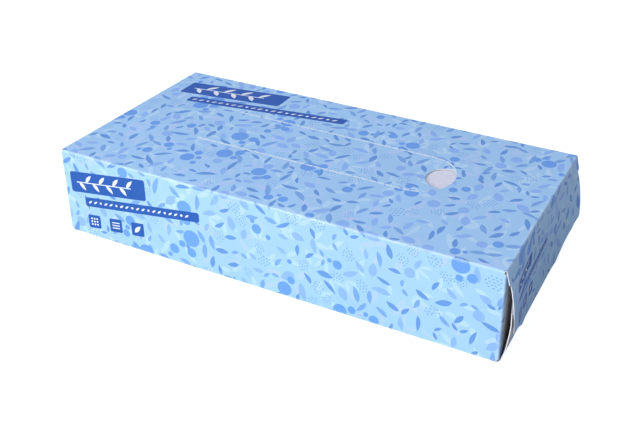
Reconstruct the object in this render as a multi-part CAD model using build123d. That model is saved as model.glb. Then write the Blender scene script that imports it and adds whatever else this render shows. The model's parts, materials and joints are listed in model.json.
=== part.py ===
"""A flat carton of interfolded tissues, sealed, with its tear-out panel still in place.

Three pieces: the folded board carton, the slit film glued under its tear-out panel, and the stack
of tissues. Millimetres, +Z up, X along the carton, the front wall at -Y, and the origin at the
middle of the base.
"""

from math import acos, cos, degrees, pi, sin
import os

from build123d import *

# Carton, outside sizes
length = 225.0
width = 110.0
height = 45.0

# Board and its folds
board = 0.4
crease_inner = 0.3
crease_outer = board + crease_inner
layer_gap = 0.1  # thickness of the glue beads, so also the air between two flaps
lap_width = 14.0  # the glued seam inside the back wall
lap_taper = 6.0
raw_edge_lift = 0.15  # the back wall's cut edge stays this far off the ground

# Tear-out panel, a long oval cut in slits through the top
tear_length = 143.5
tear_width = 34.5
tear_centre_x = -3.8
tear_centre_y = 3.2
slit_width = 0.25
slit_length = 3.3
slit_pitch = 4.1
starter_slit = 9.0  # the longer cut on each side of the finger hole
finger_radius = 10.0
finger_overhang = 3.6  # from the finger circle's centre to the end of the oval

# End flaps
flap_side_gap = 1.0  # the inner flap stops this far inside the walls
outer_flap_foot = 0.6  # height of the outer flap's free edge above the base
shoulder_drop = 6.4  # from the top down to the step in the outer flap's sides
shoulder_step = 1.7
shoulder_slope = 1.4
outer_side_taper = 1.5
outer_corner_rise = 13.4  # the outer flap's cut-off lower corners
outer_corner_run = 24.3
inner_flap_reach = 26.0
dust_flap_reach = 43.0
dust_end_gap = 0.8  # the dust flaps stay this far inside the base and the top
dust_taper = 5.0
glued_half = 18.0  # the flaps are flat and glued this far each side of the middle
bead_height = 4.0

# How far the loose sides of the right end's flaps stand out: (height / carton height, front, back)
outer_flare = [(0.86, 1.5, 1.2), (0.69, 3.3, 3.6), (0.42, 5.0, 5.8), (0.0, 6.4, 6.2)]
inner_flare = [(0.12, 1.8, 2.0), (0.27, 3.4, 4.0), (0.42, 4.2, 4.6), (0.60, 3.5, 4.0)]

# Film under the tear-out panel
film = 0.05
film_margin_x = 14.0  # glued border past the oval, along X
film_margin_y = 16.0
film_sag = 1.8
film_slope = 5.0  # how far inside the oval's line the sag reaches its depth
film_slit_length = 96.0
film_slit_width = 0.3

# Tissues
stack_clearance_x = 3.6  # to the dust flaps, at each end
stack_clearance_y = 2.2  # to the walls, or to the lap at the back
stack_headroom = 0.1  # to the lowest part of the film
stack_round = 2.2

# Worked out from the above
inner_setback = board + layer_gap
dust_setback = 2 * inner_setback
top_half = length / 2 - crease_outer
base_half = length / 2 - inner_setback - crease_outer
wall_half = length / 2 - dust_setback - crease_outer
flat_half_y = width / 2 - crease_outer
lap_face_y = width / 2 - board
tear_radius = tear_width / 2
tear_straight = tear_length / 2 - tear_radius


def block(x0, x1, y0, y1, z0, z1):
    """A box between two corners."""
    return Pos((x0 + x1) / 2, (y0 + y1) / 2, (z0 + z1) / 2) * Box(x1 - x0, y1 - y0, z1 - z0)


def fold(centre, first, second, span):
    """A right-angle fold: a quarter ring from direction first to direction second."""
    ring = Circle(crease_outer) - Circle(crease_inner)
    quadrant = Pos(crease_outer / 2, crease_outer / 2) * Rectangle(crease_outer, crease_outer)
    across = Vector(*first).cross(Vector(*second))
    plane = Plane(origin=centre, x_dir=first, z_dir=across)
    return extrude(plane * (ring & quadrant), amount=span / 2, both=True)


def sleeve():
    """The four walls, the folds between them and the glued lap."""
    low, high = crease_outer, height - crease_outer
    lap_fold_y = lap_face_y - crease_outer
    walls = [
        block(-top_half, top_half, -flat_half_y, flat_half_y, height - board, height),
        block(-base_half, base_half, -flat_half_y, lap_fold_y, 0, board),
        block(-wall_half, wall_half, -width / 2, -width / 2 + board, low, high),
        block(-wall_half, wall_half, lap_face_y, width / 2, raw_edge_lift, high),
    ]
    folds = [
        fold((0, -flat_half_y, high), (0, -1, 0), (0, 0, 1), 2 * wall_half),
        fold((0, flat_half_y, high), (0, 1, 0), (0, 0, 1), 2 * wall_half),
        fold((0, -flat_half_y, low), (0, -1, 0), (0, 0, -1), 2 * wall_half),
        fold((0, lap_fold_y, low), (0, 1, 0), (0, 0, -1), 2 * wall_half),
    ]
    lap_outline = Polyline(
        (-wall_half, low), (wall_half, low), (wall_half - lap_taper, low + lap_width),
        (-wall_half + lap_taper, low + lap_width), close=True,
    )
    lap_plane = Plane(origin=(0, lap_face_y, 0), x_dir=(1, 0, 0), z_dir=(0, -1, 0))
    lap = extrude(lap_plane * make_face(lap_outline), amount=board)
    return walls + folds + [lap]


def oval(half_straight, radius):
    """A long oval with round ends, flat on XY, about the tear-out panel's middle."""
    return Pos(tear_centre_x, tear_centre_y) * SlotCenterToCenter(2 * half_straight, 2 * radius)


def finger_hole():
    """The opening at the oval's right end, between its end curve and the finger circle."""
    centre_x = tear_centre_x + tear_length / 2 - finger_overhang
    circle = Pos(centre_x, tear_centre_y) * Circle(finger_radius)
    hole = circle & oval(tear_straight, tear_radius)
    return extrude(Pos(0, 0, height - 2 * board) * hole, amount=3 * board)


def hole_corner_angle():
    """Angle on the oval's round end at which the finger circle crosses it."""
    between = tear_radius - finger_overhang
    cosine = (tear_radius**2 + between**2 - finger_radius**2) / (2 * tear_radius * between)
    return acos(cosine)


def oval_point(distance):
    """Place and direction on the oval, measured from the finger hole's back corner round the left end."""
    start = hole_corner_angle()
    first_arc = tear_radius * (pi / 2 - start)
    straight = 2 * tear_straight
    left_arc = pi * tear_radius
    if distance < first_arc:
        angle = start + distance / tear_radius
        centre = tear_straight
    elif distance < first_arc + straight:
        return tear_straight - (distance - first_arc), tear_radius, 180.0
    elif distance < first_arc + straight + left_arc:
        angle = pi / 2 + (distance - first_arc - straight) / tear_radius
        centre = -tear_straight
    elif distance < first_arc + 2 * straight + left_arc:
        return -tear_straight + (distance - first_arc - straight - left_arc), -tear_radius, 0.0
    else:
        angle = 3 * pi / 2 + (distance - first_arc - 2 * straight - left_arc) / tear_radius
        centre = tear_straight
    x, y = centre + tear_radius * cos(angle), tear_radius * sin(angle)
    return x, y, degrees(angle) + 90


def tear_slits():
    """The cuts that let the panel tear out, with a longer one each side of the finger hole."""
    path = 2 * tear_radius * (pi - hole_corner_angle()) + 4 * tear_straight
    nick = slit_pitch - slit_length
    middle = path - 2 * (starter_slit + nick)
    count = round(middle / slit_pitch)
    pitch = middle / count
    spans = [(starter_slit + nick + pitch * (i + 0.5), pitch - nick) for i in range(count)]
    return [slit(place, size) for place, size in spans] + starter_cuts()


def slit(distance, size):
    """One straight cut through the top, centred at a distance along the oval."""
    x, y, turn = oval_point(distance)
    cut = Pos(tear_centre_x + x, tear_centre_y + y, height - board / 2) * Rot(0, 0, turn)
    return cut * Box(size, slit_width, 3 * board)


def starter_cuts():
    """The two curved cuts that run into the finger hole."""
    outer = oval(tear_straight, tear_radius + slit_width / 2)
    inner = oval(tear_straight, tear_radius - slit_width / 2)
    band = extrude(Pos(0, 0, height - 2 * board) * (outer - inner), amount=3 * board)
    end_x, end_y, _ = oval_point(starter_slit)
    hole_x, hole_y, _ = oval_point(0)
    reach = slit_width
    pieces = []
    for side in (1, -1):
        ys = sorted((side * (end_y + reach), side * (hole_y - reach)))
        window = block(end_x, hole_x + reach, ys[0], ys[1], height - 3 * board, height + 2 * board)
        pieces.append(band & (Pos(tear_centre_x, tear_centre_y, 0) * window))
    return pieces


def bowed_section(end, face_x, z, front, back):
    """A thin level section of a flap: flat in its glued middle and bowed out at its two sides."""
    def at(y, out, inward):
        return (end * (face_x + out - inward), y, z)

    def side(sign, out, inward):
        reach = flat_half_y - glued_half
        mid = glued_half + reach / 2
        points = [at(sign * glued_half, 0, inward), at(sign * mid, out / 4, inward)]
        points.append(at(sign * flat_half_y, out, inward))
        if out == 0:
            return Line(points[0], points[-1])
        leave = (end * 2 * out, sign * reach, 0)
        return Spline(*points, tangents=[(0, sign, 0), leave])

    edges = []
    for inward in (0, board):
        edges += [
            side(-1, front, inward),
            Line(at(-glued_half, 0, inward), at(glued_half, 0, inward)),
            side(1, back, inward),
        ]
    edges.append(Line(at(-flat_half_y, front, 0), at(-flat_half_y, front, board)))
    edges.append(Line(at(flat_half_y, back, 0), at(flat_half_y, back, board)))
    return make_face(Wire(edges))


def flap_sheet(end, face_x, start_z, stop_z, flare):
    """A flap's whole sheet, from its crease at start_z, before its outline is cut."""
    if not flare:
        xs = sorted((end * face_x, end * (face_x - board)))
        zs = sorted((start_z, stop_z))
        return block(xs[0], xs[1], -flat_half_y, flat_half_y, zs[0], zs[1])
    levels = [(start_z, 0.0, 0.0)] + [(share * height, front, back) for share, front, back in flare]
    return loft([bowed_section(end, face_x, z, front, back) for z, front, back in levels])


def cut_to(sheet, end, outline):
    """The part of a flap's sheet inside an outline given as (y, z) points."""
    plane = Plane(origin=(0, 0, 0), x_dir=(0, 1, 0), z_dir=(1, 0, 0))
    prism = extrude(plane * make_face(Polyline(*outline, close=True)), amount=length)
    if end < 0:
        prism = Pos(-length, 0, 0) * prism
    return sheet & prism


def outer_flap(end, flare):
    """The printed flap from the top, down over the end."""
    crease_z = height - crease_outer
    step_z = height - shoulder_drop
    side = flat_half_y - shoulder_step
    foot = outer_flap_foot
    half = [
        (flat_half_y, crease_z), (flat_half_y, step_z), (side, step_z - shoulder_slope),
        (side - outer_side_taper, foot + outer_corner_rise),
        (side - outer_side_taper - outer_corner_run, foot),
    ]
    outline = half + [(-y, z) for y, z in reversed(half)]
    sheet = flap_sheet(end, length / 2, crease_z, foot, flare)
    crease = fold((end * top_half, 0, crease_z), (end, 0, 0), (0, 0, 1), 2 * flat_half_y)
    return [crease, cut_to(sheet, end, outline)]


def inner_flap(end, flare):
    """The flap from the base, up behind the outer one."""
    face = length / 2 - inner_setback
    side = flat_half_y - flap_side_gap
    top = crease_outer + inner_flap_reach
    corner = inner_flap_reach / 5
    half = [(side, crease_outer), (side, top - corner), (side - corner, top)]
    outline = half + [(-y, z) for y, z in reversed(half)]
    sheet = flap_sheet(end, face, crease_outer, top, flare)
    crease = fold((end * base_half, 0, crease_outer), (end, 0, 0), (0, 0, -1), 2 * side)
    return [crease, cut_to(sheet, end, outline)]


def dust_flap(end, side):
    """The small flap from the front or back wall, innermost at its end."""
    low, high = crease_outer + dust_end_gap, height - crease_outer - dust_end_gap
    face = length / 2 - dust_setback
    crease_y = side * flat_half_y
    tip_y = side * (flat_half_y - dust_flap_reach)
    outline = [
        (crease_y, low), (crease_y, high), (tip_y, high - dust_taper), (tip_y, low + dust_taper),
    ]
    xs = sorted((end * face, end * (face - board)))
    sheet = block(xs[0], xs[1], -width / 2, width / 2, 0, height)
    middle = (end * wall_half, crease_y, (low + high) / 2)
    crease = fold(middle, (end, 0, 0), (0, side, 0), high - low)
    return [crease, cut_to(sheet, end, outline)]


def glue_beads(end):
    """Glue between the layers of an end, in their flat middle."""
    outer_x = length / 2 - board
    dust_x = outer_x - inner_setback
    tip = flat_half_y - dust_flap_reach
    beads = []
    for share in (0.3, 0.65):
        z = crease_outer + inner_flap_reach * share
        spans = [(outer_x, -glued_half, glued_half)]
        spans += [(dust_x, tip, glued_half), (dust_x, -glued_half, -tip)]
        for x, y0, y1 in spans:
            xs = sorted((end * x, end * (x - layer_gap)))
            beads.append(block(xs[0], xs[1], y0, y1, z, z + bead_height))
    return beads


def carton():
    """The whole folded carton as one solid: its right end loose at the sides, its left end flat."""
    pieces = sleeve()
    for end, outer, inner in ((1, outer_flare, inner_flare), (-1, [], [])):
        pieces += outer_flap(end, outer) + inner_flap(end, inner) + glue_beads(end)
        pieces += dust_flap(end, -1) + dust_flap(end, 1)
    body = pieces[0].fuse(*pieces[1:])
    return body.cut(finger_hole(), *tear_slits())


def slit_film():
    """Clear film glued round the oval, sagging under it, with a slit that the tissues pass through."""
    glued_z = height - board
    border = Rectangle(tear_length + 2 * film_margin_x, tear_width + 2 * film_margin_y)
    sheet = extrude(Pos(tear_centre_x, tear_centre_y, glued_z - film) * border, amount=film)

    def dish(top_z, grow):
        rim = Pos(0, 0, top_z) * oval(tear_straight, tear_radius + grow)
        floor = Pos(0, 0, top_z - film_sag) * oval(tear_straight, tear_radius - film_slope + grow)
        return loft([floor, rim])

    under = dish(glued_z - film, film)
    over = dish(glued_z, 0)
    opening = Box(film_slit_length, film_slit_width, 4 * film_sag)
    opening = Pos(tear_centre_x, tear_centre_y, glued_z - film_sag) * opening
    return (sheet + under) - over - opening


def tissue_stack():
    """The interfolded tissues, soft-cornered, standing on the base."""
    half_x = length / 2 - dust_setback - board - stack_clearance_x
    front = -width / 2 + board + stack_clearance_y
    back = width / 2 - 2 * board - stack_clearance_y
    top = height - board - film_sag - film - stack_headroom
    body = block(-half_x, half_x, front, back, board, top)
    upright = fillet(body.edges().filter_by(Axis.Z), stack_round)
    return fillet(upright.faces().sort_by(Axis.Z)[-1].edges(), stack_round * 0.7)


os.makedirs("parts", exist_ok=True)
for name, solid in (("carton", carton()), ("slit_film", slit_film()), ("tissue_stack", tissue_stack())):
    print(name, "solids", len(solid.solids()), "volume", round(solid.volume), "valid", solid.is_valid)
    export_step(solid, "parts/" + name + ".step")
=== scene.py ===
import json
import math
import random

import bmesh
import bpy
from mathutils import Matrix, Vector
from mathutils.geometry import delaunay_2d_cdt
from mathutils.kdtree import KDTree

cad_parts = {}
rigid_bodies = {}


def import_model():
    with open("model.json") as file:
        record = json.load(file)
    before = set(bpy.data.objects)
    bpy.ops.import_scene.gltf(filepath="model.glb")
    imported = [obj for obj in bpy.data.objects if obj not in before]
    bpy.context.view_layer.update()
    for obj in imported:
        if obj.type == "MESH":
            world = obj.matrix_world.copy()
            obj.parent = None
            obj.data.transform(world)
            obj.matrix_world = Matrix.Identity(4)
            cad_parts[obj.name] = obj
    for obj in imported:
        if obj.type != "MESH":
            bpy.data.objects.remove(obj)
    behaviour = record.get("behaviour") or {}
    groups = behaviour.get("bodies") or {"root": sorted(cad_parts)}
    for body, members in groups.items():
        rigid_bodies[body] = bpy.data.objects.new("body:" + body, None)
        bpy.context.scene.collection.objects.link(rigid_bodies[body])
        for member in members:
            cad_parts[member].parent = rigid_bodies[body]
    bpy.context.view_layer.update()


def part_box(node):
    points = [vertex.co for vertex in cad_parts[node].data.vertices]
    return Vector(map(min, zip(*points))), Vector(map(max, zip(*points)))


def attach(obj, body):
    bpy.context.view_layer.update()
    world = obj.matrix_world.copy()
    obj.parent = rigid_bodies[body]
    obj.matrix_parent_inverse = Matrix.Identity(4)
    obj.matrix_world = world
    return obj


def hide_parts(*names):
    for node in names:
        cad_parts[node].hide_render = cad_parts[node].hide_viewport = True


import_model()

# Lengths are worked out in millimetres on the flat sheet, and become metres when it is folded.
mm = 0.001
low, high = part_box("carton")
halfLength = -low[0] / mm
halfWidth = high[1] / mm
boxHeight = high[2] / mm

print("stage: frame loaded, carton", *(round(c) for c in (2 * halfLength, 2 * halfWidth, boxHeight)), "mm")


# Small helpers for node trees
def addNode(tree, kind, **values):
    node = tree.nodes.new(kind)
    for key, value in values.items():
        if hasattr(node, key):
            setattr(node, key, value)
        else:
            node.inputs[key.replace("_", " ")].default_value = value
    return node


def connect(tree, *pairs):
    for source, target in pairs:
        tree.links.new(source, target)


def feed(tree, slot, value):
    if isinstance(value, bpy.types.NodeSocket):
        tree.links.new(value, slot)
    else:
        slot.default_value = value


def enabled(sockets, name):
    return next(s for s in sockets if s.name == name and s.enabled)


def emptyTree(owner):
    owner.use_nodes = True
    owner.node_tree.nodes.clear()
    return owner.node_tree


def newFinish(name):
    material = bpy.data.materials.new(name)
    tree = emptyTree(material)
    out = addNode(tree, "ShaderNodeOutputMaterial")
    surface = addNode(tree, "ShaderNodeBsdfPrincipled")
    connect(tree, (surface.outputs[0], out.inputs["Surface"]))
    return material, tree, surface


def texture(tree, kind, **values):
    node = addNode(tree, "ShaderNodeTex" + kind, **values)
    where = addNode(tree, "ShaderNodeTexCoord").outputs["Object"]
    connect(tree, (where, node.inputs["Vector"]))
    return node.outputs["Fac"]


def mapped(tree, value, **ends):
    node = addNode(tree, "ShaderNodeMapRange", **ends)
    connect(tree, (value, node.inputs["Value"]))
    return node.outputs["Result"]


def multiplied(tree, first, second):
    node = addNode(tree, "ShaderNodeMath", operation="MULTIPLY")
    for slot, value in zip(node.inputs, (first, second)):
        feed(tree, slot, value)
    return node.outputs[0]


def mixColour(tree, factor, first, second):
    mix = addNode(tree, "ShaderNodeMix", data_type="RGBA", blend_type="MIX")
    slots = [s for s in mix.inputs if s.enabled]
    for slot, value in zip(slots, (factor, first, second)):
        feed(tree, slot, value)
    return next(s for s in mix.outputs if s.enabled)


def bumped(tree, height, strength, distance, under=None):
    node = addNode(tree, "ShaderNodeBump", Strength=strength, Distance=distance)
    connect(tree, (height, node.inputs["Height"]))
    if under:
        connect(tree, (under, node.inputs["Normal"]))
    return node.outputs["Normal"]


def placeItem(name, data):
    item = bpy.data.objects.new(name, data)
    bpy.context.scene.collection.objects.link(item)
    return item


# Camera, light and floor
studio = {
    "cameraPlace": (0.1910, -0.3454, 0.2515),
    "cameraTurn": 24.92,
    "cameraDip": 25.86,
    "cameraRoll": 1.16,
    "lens": 51.68,
    "shift": (-0.0912, -0.1504),
    "worldLight": (0.92, 0.90, 1.0),
    "worldStrength": 0.37,
    "floorColour": (0.62, 0.63, 0.66),
    "floorGlow": 0.81,
    "floorReach": 6.0,
    "lampTarget": (0, 0, 0.02),
}

# Lamps: place, size, watts and colour
softboxes = {
    "keySoftbox": ((-0.55, -1.15, 0.62), 0.7, 14.9, (1.0, 0.99, 0.97)),
    "skySoftbox": ((-0.30, 0.35, 1.15), 1.3, 5.2, (0.62, 0.67, 1.0)),
    "fillSoftbox": ((0.55, -1.30, 0.30), 0.6, 2.2, (0.95, 0.97, 1.0)),
}


def addSoftbox(name, place, size, watts, colour):
    lamp = bpy.data.lights.new(name, "AREA")
    lamp.shape = "SQUARE"
    lamp.size = size
    lamp.energy = watts
    lamp.color = colour
    item = placeItem(name, lamp)
    item.location = place
    item.rotation_euler = (Vector(studio["lampTarget"]) - Vector(place)).to_track_quat("-Z", "Y").to_euler()


def setUpCamera():
    s = studio
    camera = bpy.data.cameras.new("studioCamera")
    camera.sensor_width = 36
    camera.lens = s["lens"]
    camera.shift_x, camera.shift_y = s["shift"]
    camera.clip_start = 0.01
    item = placeItem("studioCamera", camera)
    turn = Matrix.Rotation(math.radians(s["cameraTurn"]), 4, "Z")
    dip = Matrix.Rotation(math.radians(90 - s["cameraDip"]), 4, "X")
    roll = Matrix.Rotation(math.radians(s["cameraRoll"]), 4, "Z")
    item.matrix_world = Matrix.Translation(s["cameraPlace"]) @ turn @ dip @ roll
    bpy.context.scene.camera = item


def setUpWorld():
    # a soft light for the object, and plain white for the camera
    world = bpy.data.worlds.new("studioWorld")
    bpy.context.scene.world = world
    tree = emptyTree(world)
    out = addNode(tree, "ShaderNodeOutputWorld")
    mix = addNode(tree, "ShaderNodeMixShader")
    colour = (*studio["worldLight"], 1)
    light = addNode(tree, "ShaderNodeBackground", Color=colour, Strength=studio["worldStrength"])
    white = addNode(tree, "ShaderNodeBackground", Color=(1, 1, 1, 1))
    path = addNode(tree, "ShaderNodeLightPath")
    connect(
        tree, (path.outputs["Is Camera Ray"], mix.inputs["Fac"]), (light.outputs[0], mix.inputs[1]),
        (white.outputs[0], mix.inputs[2]), (mix.outputs[0], out.inputs["Surface"]),
    )


def setUpFloor():
    mesh = bpy.data.meshes.new("studioFloor")
    r = studio["floorReach"]
    mesh.from_pydata([(-r, -r, 0), (r, -r, 0), (r, r, 0), (-r, r, 0)], [], [(0, 1, 2, 3)])
    floor = placeItem("studioFloor", mesh)
    paint = bpy.data.materials.new("floorPaint")
    tree = emptyTree(paint)
    out = addNode(tree, "ShaderNodeOutputMaterial")
    matt = addNode(tree, "ShaderNodeBsdfDiffuse", Color=(*studio["floorColour"], 1))
    glow = addNode(tree, "ShaderNodeEmission")
    both = addNode(tree, "ShaderNodeAddShader")
    path = addNode(tree, "ShaderNodeLightPath")
    level = multiplied(tree, path.outputs["Is Camera Ray"], studio["floorGlow"])
    connect(
        tree, (level, glow.inputs["Strength"]), (matt.outputs[0], both.inputs[0]),
        (glow.outputs[0], both.inputs[1]), (both.outputs[0], out.inputs["Surface"]),
    )
    mesh.materials.append(paint)


setUpCamera()
for lampName, lampSpec in softboxes.items():
    addSoftbox(lampName, *lampSpec)
setUpWorld()
setUpFloor()
bpy.context.scene.view_settings.view_transform = "Standard"
print("stage: studio ready")


# Board, inks and other finishes, as plain screen colours
finishes = {
    "groundBlue": (166, 213, 248),
    "leafBlue": (98, 155, 223),
    "duskBlue": (121, 173, 232),
    "softBlue": (143, 189, 246),
    "berryBlue": (104, 165, 238),
    "seedBlue": (120, 170, 226),
    "paleBlue": (186, 225, 252),
    "mistBlue": (181, 214, 251),
    "plateBlue": (6, 88, 178),
    "knockoutWhite": (236, 246, 254),
    "bareCoated": (212, 210, 210),
    "greyInside": (204, 202, 198),
    "cutFibre": (238, 241, 246),
    # lighter band round the slits: cracked coating and a painted highlight
    "crackedCoat": (222, 250, 255),
}

# Where a finish is not coated and printed like the rest of the board
boardKinds = {
    "plateBlue": {"fibre": 0.012},
    "bareCoated": {"printed": False, "rough": 0.55, "fibre": 0.16},
    "greyInside": {"printed": False, "rough": 0.85, "fibre": 0.30},
    "cutFibre": {"printed": False, "rough": 0.90, "fibre": 0.25},
}

boardLook = {
    "cloudScale": 34.0,
    "mottleScale": 900.0,
    "crackAndHighlightScale": 420.0,
    "lighter": 1.07,
    "lift": 0.006,
    "darker": 0.93,
    "fibreColour": (0.80, 0.88, 0.95, 1),
    # colour of the cracked coating and painted highlight along the creases
    "crackAndHighlightColour": (0.66, 0.83, 1.0, 1),
    "crackAndHighlightLeast": 0.10,
    "crackAndHighlightMost": 0.45,
    "duller": 0.08,
    "glossier": 0.06,
    "printedBump": 0.10,
    "bareBump": 0.3,
    "bumpDepth": 0.00006,
}


def linear(colour):
    return tuple(((c / 255 + 0.055) / 1.055) ** 2.4 if c > 10 else c / 255 / 12.92 for c in colour)


def makeBoard(name, printed=True, rough=0.42, fibre=0.035):
    look = boardLook
    material, tree, surface = newFinish(name)
    ink = linear(finishes[name])
    cloud = texture(tree, "Noise", Scale=look["cloudScale"], Detail=3.0, Roughness=0.6)
    mottle = texture(tree, "Noise", Scale=look["mottleScale"], Detail=2.0, Roughness=0.7)
    lighter = tuple(min(1, c * look["lighter"] + look["lift"]) for c in ink) + (1,)
    darker = tuple(c * look["darker"] for c in ink) + (1,)
    base = mixColour(tree, cloud, darker, lighter)  # ink lies a little unevenly
    grain = mapped(tree, mottle, From_Min=0.3, From_Max=0.7, To_Min=0.0, To_Max=fibre)
    base = mixColour(tree, grain, base, look["fibreColour"])
    if printed:  # the coating cracks to white along the creases, and a painted highlight lightens them too
        wearAndHighlight = addNode(tree, "ShaderNodeAttribute", attribute_name="foldWear")
        patches = texture(tree, "Noise", Scale=look["crackAndHighlightScale"], Detail=3.0, Roughness=0.75)
        ends = {"To_Min": look["crackAndHighlightLeast"], "To_Max": look["crackAndHighlightMost"]}
        spread = mapped(tree, patches, From_Min=0.32, From_Max=0.72, **ends)
        amount = multiplied(tree, wearAndHighlight.outputs["Fac"], spread)
        base = mixColour(tree, amount, base, look["crackAndHighlightColour"])
    # the varnish is a touch duller in places
    sheen = mapped(tree, cloud, To_Min=rough - look["glossier"], To_Max=rough + look["duller"])
    depth = look["printedBump"] if printed else look["bareBump"]
    bump = bumped(tree, mottle, depth, look["bumpDepth"])
    surface.inputs["IOR"].default_value = 1.5
    connect(
        tree, (base, surface.inputs["Base Color"]), (sheen, surface.inputs["Roughness"]),
        (bump, surface.inputs["Normal"]),
    )
    return material


boardMaterials = {name: makeBoard(name, **boardKinds.get(name, {})) for name in finishes}
print("stage: board and inks mixed,", len(boardMaterials))


# Shapes that the print is made of
def turned(points, angle, shift=(0, 0)):
    c, s = math.cos(angle), math.sin(angle)
    return [(x * c - y * s + shift[0], x * s + y * c + shift[1]) for x, y in points]


def leafShape(length, width, bend=0.0, fullest=0.45, steps=5):
    side = []
    for i in range(1, steps):
        t = i / steps
        swell = math.sin(math.pi * t ** (math.log(0.5) / math.log(fullest))) ** 0.85
        side.append((t, swell * width / 2))
    upper = [(length * (t - 0.5), w + bend * length * math.sin(math.pi * t)) for t, w in side]
    lower = [(length * (t - 0.5), -w + bend * length * math.sin(math.pi * t)) for t, w in reversed(side)]
    return [(length / 2, 0)] + lower + [(-length / 2, 0)] + upper


def roundShape(radius, steps=22):
    turns = [i * 2 * math.pi / steps for i in range(steps)]
    return [(radius * math.cos(a), radius * math.sin(a)) for a in turns]


def seedShape(length, width=0.48):
    h, w = length / 2, width / 2
    return [(h, w * 0.2), (h * 0.5, w), (-h, w * 0.4), (-h * 0.6, -w), (h * 0.6, -w * 0.8)]


def seedPatch(columns, rows, pick):
    patch = []
    for row in range(rows):
        for column in range(columns):
            x = (column - (columns - 1) / 2) * 1.45 + (row % 2) * 0.7 - 0.35 + pick.uniform(-0.25, 0.25)
            y = (row - (rows - 1) / 2) * 1.05 + pick.uniform(-0.15, 0.15)
            if (x / (columns * 0.8)) ** 2 + (y / (rows * 0.58)) ** 2 <= 1:  # keeps the patch round
                patch.append(turned(seedShape(pick.uniform(0.75, 1.1)), pick.uniform(-0.8, 0.8), (x, y)))
    return patch


def spray(leaves, length, width, spreadAngle, reach):
    shapes = []
    for i in range(leaves):
        share = (i / (leaves - 1) - 0.5) if leaves > 1 else 0
        angle = share * spreadAngle
        shift = (reach * math.cos(angle), reach * math.sin(angle))
        size = length * (1 - 0.3 * abs(share))
        shapes.append(turned(leafShape(size, width, 0.05 * (1 if share > 0 else -1)), angle, shift))
    return shapes


# Motifs of each ink. Leaf: length, width, bend. Spray: leaves, length, width, spread, reach.
# Berries: radius, steps and place of each dot. Seeds: columns and rows.
motifs = {
    "leafBlue": {
        "leaf": (
            (7.4, 1.9, 0.03), (6.2, 2.1, -0.05), (5.2, 1.9, 0.0), (8.4, 2.0, 0.05), (5.6, 1.7, -0.06),
            (6.6, 2.5, 0.02), (4.6, 1.7, 0.04),
        ),
        "spray": ((2, 5.0, 1.6, 1.7, 2.6),),
    },
    "duskBlue": {
        "leaf": ((6.8, 2.3, -0.04), (8.0, 2.2, 0.05), (5.4, 2.0, 0.03)),
        "spray": ((2, 4.8, 1.7, 2.2, 2.6),),
    },
    "softBlue": {
        "leaf": ((6.6, 2.4, 0.04), (7.8, 2.7, -0.04), (6.4, 3.6, 0.0), (5.2, 2.1, 0.03)),
        "berries": (((2.4, 16),),),
    },
    "berryBlue": {
        "berries": (
            ((3.5, 22), (1.5, 12, (4.6, 3.1)), (2.0, 14, (0.8, 6.2))),
            ((2.9, 20), (1.6, 12, (-1.4, 5.0))),
            ((2.2, 16), (1.1, 10, (3.1, 2.2))),
            ((2.0, 16),),
            ((1.3, 12),),
        ),
    },
    "seedBlue": {"seeds": ((4, 5), (3, 5), (4, 4))},
    "paleBlue": {
        "leaf": ((8.6, 2.3, 0.03), (7.0, 2.0, -0.04), (10.5, 2.5, 0.04)),
        "spray": ((2, 7.6, 2.1, 0.9, 3.6), (3, 7.2, 1.9, 1.6, 3.8), (2, 6.4, 2.4, 2.0, 3.0)),
    },
    "mistBlue": {
        "leaf": ((9.6, 2.7, -0.04), (7.4, 2.3, 0.05)),
        "spray": ((2, 8.2, 2.2, 1.1, 3.9), (3, 6.6, 1.7, 2.2, 3.6)),
    },
}


def dot(radius, steps, place=(0, 0)):
    return turned(roundShape(radius, steps), 0, place)


def designsOf(kinds, pick):
    designs = [[leafShape(*size)] for size in kinds.get("leaf", ())]
    designs += [spray(*size) for size in kinds.get("spray", ())]
    designs += [[dot(*size) for size in dots] for dots in kinds.get("berries", ())]
    designs += [seedPatch(*size, pick) for size in kinds.get("seeds", ())]
    return designs


def flatMesh(name, shapes):
    points, faces = [], []
    for shape in shapes:
        faces.append(tuple(range(len(points), len(points) + len(shape))))
        points += [(x, y, 0) for x, y in shape]
    mesh = bpy.data.meshes.new(name)
    mesh.from_pydata(points, [], faces)
    return mesh


# Node trees: motifs scattered on the sheet, slits along the tear line, sheets in the stack
def newTree(name, **inputs):
    tree = bpy.data.node_groups.new(name, "GeometryNodeTree")
    tree.interface.new_socket("Geometry", in_out="OUTPUT", socket_type="NodeSocketGeometry")
    for title, kind in {"Geometry": "Geometry", **inputs}.items():
        tree.interface.new_socket(title, in_out="INPUT", socket_type="NodeSocket" + kind)
    entry = addNode(tree, "NodeGroupInput").outputs
    outlet = addNode(tree, "NodeGroupOutput").inputs[0]
    return tree, entry, outlet


def realAndPainted(tree, geometry, material):
    real = addNode(tree, "GeometryNodeRealizeInstances")
    paint = addNode(tree, "GeometryNodeSetMaterial", Material=material)
    connect(tree, (geometry, real.inputs[0]), (real.outputs[0], paint.inputs["Geometry"]))
    return paint.outputs[0]


def randomValue(tree, kind, lowest, highest, seed):
    node = addNode(tree, "FunctionNodeRandomValue", data_type=kind)
    feed(tree, enabled(node.inputs, "Min"), lowest)
    feed(tree, enabled(node.inputs, "Max"), highest)
    feed(tree, node.inputs["Seed"], seed)
    return enabled(node.outputs, "Value")


def between(tree, value, lowest, highest):
    both = addNode(tree, "FunctionNodeBooleanMath", operation="AND")
    for i, (operation, bound) in enumerate((("GREATER_EQUAL", lowest), ("LESS_THAN", highest))):
        test = addNode(tree, "FunctionNodeCompare", data_type="FLOAT", operation=operation)
        enabled(test.inputs, "B").default_value = bound
        connect(tree, (value, enabled(test.inputs, "A")), (test.outputs[0], both.inputs[i]))
    return both.outputs[0]


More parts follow.
